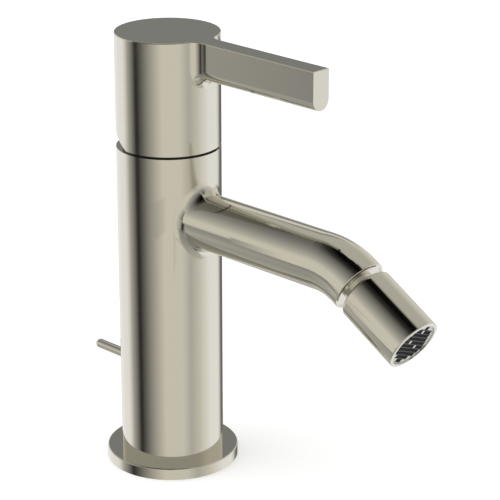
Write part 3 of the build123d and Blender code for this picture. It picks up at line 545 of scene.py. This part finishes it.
# %% [markdown]
# What all finishes share
#
# Each material is named for what the real one is and how its surface was made. They share one start: a
# Principled shader with its colour, and an object-space coordinate, so that a pattern stays with its
# piece when the piece moves. Patterns could be painted on UVs, but noise needs none, and its scale can
# be worked out from the real size of the marks.


# %% Start of a finish
def start_finish(name, hex_colour, **settings):
    """New material with a Principled shader. Returns it, its tree, the shader and the coordinate."""
    material, tree = empty_material(name)
    shader = add(tree, "ShaderNodeBsdfPrincipled", {"Base Color": linear(hex_colour), **settings})
    add(tree, "ShaderNodeOutputMaterial", links={"Surface": shader.outputs[0]})
    place = add(tree, "ShaderNodeTexCoord").outputs["Object"]
    return material, tree, shader, place


def marks(tree, place, size_mm, stretch=(1, 1, 1), detail=3.0):
    """Noise whose marks are that many millimetres across, stretched along the axes."""
    squeezed = add(tree, "ShaderNodeMapping", {"Scale": stretch}, {"Vector": place})
    scale = 1 / (size_mm * MM)
    pattern = add(
        tree, "ShaderNodeTexNoise", {"Scale": scale, "Detail": detail}, {"Vector": squeezed.outputs[0]}
    )
    return pattern.outputs[0]


print("marks of 6 mm have the scale", round(1 / (6 * MM)))

# %% [markdown]
# How a surface is uneven
#
# No moulded, lapped or buffed surface is perfectly even. A slow pattern varies the gloss between two
# values, and a finer one lifts the surface to its real depth. Displaced meshes would show such small
# depths no better than a bump does.

# %% Unevenness
# Noise runs from 0 to 1, but keeps mostly between these values
noise_low, noise_high = 0.3, 0.7


def make_uneven(tree, shader, haze, roughness, grain=None, depth_mm=0.0, strength=0.5):
    """Varies the roughness between two values by one pattern and lifts the surface by another."""
    gloss = add(
        tree,
        "ShaderNodeMapRange",
        {"From Min": noise_low, "From Max": noise_high, "To Min": roughness[0], "To Max": roughness[1]},
        {"Value": haze},
    )
    tree.links.new(gloss.outputs[0], shader.inputs["Roughness"])
    if grain is not None:
        depth = depth_mm * MM
        bump = add(tree, "ShaderNodeBump", {"Strength": strength, "Distance": depth}, {"Height": grain})
        tree.links.new(bump.outputs[0], shader.inputs["Normal"])


print("gloss follows the noise from", noise_low, "to", noise_high)

# %% [markdown]
# Nickel
#
# The visible metal is nickel over polished brass: warm, slightly grey, and just soft enough that a
# mirrored edge blurs. It could be a plain mirror, but buffing by hand leaves a haze a few millimetres
# wide, so the roughness runs from 0.06 to 0.10. The buffing wheel also leaves hairlines round the
# turned shapes. Real ones are about 0.1 mm apart, a quarter of a pixel here, so they are drawn 0.8 mm
# apart and a thousandth of a millimetre deep.


# %% Nickel
def buffed_nickel():
    """Satin-bright nickel plate, buffed round the turned shapes."""
    material, tree, shader, place = start_finish(
        "nickel plated brass, buffed satin-bright", "#DAD7CD", Metallic=1.0, Roughness=0.08
    )
    haze = marks(tree, place, size_mm=6.0)
    hairlines = marks(tree, place, size_mm=0.8, stretch=(0.08, 0.08, 1.0), detail=2.0)
    make_uneven(tree, shader, haze, (0.06, 0.1), hairlines, depth_mm=0.001, strength=0.2)
    return material


finishes = {"polished_nickel": buffed_nickel()}
print("made:", finishes["polished_nickel"].name)

# %% [markdown]
# Brass and steel
#
# The cartridge's nut and spindle are bare brass, yellow and soft in gloss, with the fine rings of the
# lathe. The spindle's pin, the grub screw and the slider of the pop-up waste are drawn stainless rod,
# cool and grey, with faint streaks along it. Flat colours would do inside the mixer, but a piece may be
# taken out and looked at alone. Each pattern is stretched the way the tool went. Real rings are about
# 0.1 mm apart, so they are drawn at a pixel, 0.4 mm.


# %% Brass and steel
def turned_brass():
    """Brass as it leaves the lathe."""
    material, tree, shader, place = start_finish(
        "turned brass, uncoated", "#D9B56A", Metallic=1.0, Roughness=0.3
    )
    rings = marks(tree, place, size_mm=0.4, stretch=(0.1, 0.1, 1.0))
    make_uneven(tree, shader, marks(tree, place, size_mm=2.0), (0.22, 0.36), rings, depth_mm=0.01)
    return material


def drawn_steel():
    """Stainless rod as it leaves the drawing die."""
    material, tree, shader, place = start_finish(
        "drawn stainless steel", "#C9C9C9", Metallic=1.0, Roughness=0.22
    )
    streaks = marks(tree, place, size_mm=1.5, stretch=(1, 1, 0.1))
    make_uneven(tree, shader, streaks, (0.18, 0.3))
    return material


finishes["raw_brass"] = turned_brass()
finishes["steel"] = drawn_steel()
print("metals:", len(finishes))

# %% [markdown]
# What moulded and lapped surfaces share
#
# Plastic, rubber and lapped ceramic could each have a recipe of their own, but they differ only in
# numbers. So one recipe takes them all: a fine grain in the surface, a slow change in the gloss, and a
# trace of that change in the colour, as the mould and handling leave them. Real grain is a tenth of a
# millimetre or finer, so it is drawn 0.2 to 0.5 mm wide, about a pixel.

# %% Moulded surfaces
cloud_mm = 9.0
gloss_spread = 0.06


def moulded(name, tones, roughness, grain_mm, depth_mm, ior):
    """Moulded or lapped surface: fine grain, slow change of gloss and a trace of change in colour."""
    material, tree, shader, place = start_finish(name, tones[0], Roughness=roughness, IOR=ior)
    clouds = marks(tree, place, size_mm=cloud_mm)
    colour = add(
        tree, "ShaderNodeMix", {6: linear(tones[0]), 7: linear(tones[1])}, {0: clouds}, data_type="RGBA"
    )
    tree.links.new(colour.outputs[2], shader.inputs["Base Color"])
    limits = (roughness - gloss_spread, roughness + gloss_spread)
    make_uneven(tree, shader, clouds, limits, marks(tree, place, size_mm=grain_mm), depth_mm)
    return material


print("gloss changes over", cloud_mm, "mm")

# %% [markdown]
# Plastics
#
# The black ring under the lever, the lattice in the outlet and the bushes are moulded acetal, which is
# satin with a very fine grain from the mould. The cartridge's housing is glass-filled nylon, whose
# fibres make it duller and coarser. Acetal has an IOR of 1.48 and nylon one of 1.53.

# %% Plastics
finishes["black_plastic"] = moulded(
    "acetal, moulded black", ("#18191A", "#202122"), roughness=0.42, grain_mm=0.35, depth_mm=0.01, ior=1.48
)
finishes["white_plastic"] = moulded(
    "acetal, moulded natural white",
    ("#E4E4E0", "#DADAD4"),
    roughness=0.4,
    grain_mm=0.35,
    depth_mm=0.01,
    ior=1.48,
)
finishes["grey_plastic"] = moulded(
    "glass-filled nylon, moulded grey",
    ("#6A6C6E", "#5C5E60"),
    roughness=0.5,
    grain_mm=0.3,
    depth_mm=0.02,
    ior=1.53,
)
print("with the plastics:", len(finishes))

# %% [markdown]
# Ceramic and rubber
#
# The cartridge's discs are alumina, lapped until they seal against each other: smooth, ivory and
# faintly speckled, with a high IOR of 1.76. The seals are moulded EPDM rubber, matt and never quite
# clean.

# %% Ceramic and rubber
finishes["ceramic"] = moulded(
    "alumina, lapped", ("#E9E5DB", "#DDD8CC"), roughness=0.2, grain_mm=0.2, depth_mm=0.002, ior=1.76
)
finishes["seal_rubber"] = moulded(
    "EPDM rubber, moulded", ("#1B1B1C", "#262627"), roughness=0.62, grain_mm=0.5, depth_mm=0.02, ior=1.52
)
print("finishes:", len(finishes))

# %% [markdown]
# Dressing the pieces
#
# The record names a finish for each piece, as a maker's parts list does. A list of names could be kept
# here too, but with the record's own list in one loop, no piece can be forgotten.

# %% Dressing
subparts = frame["record"]["subparts"]
for row in subparts:
    piece = nodes[row["node"]]
    piece.data.materials.clear()
    piece.data.materials.append(finishes[row["material_slot"]])
print("dressed:", len(subparts), "pieces")
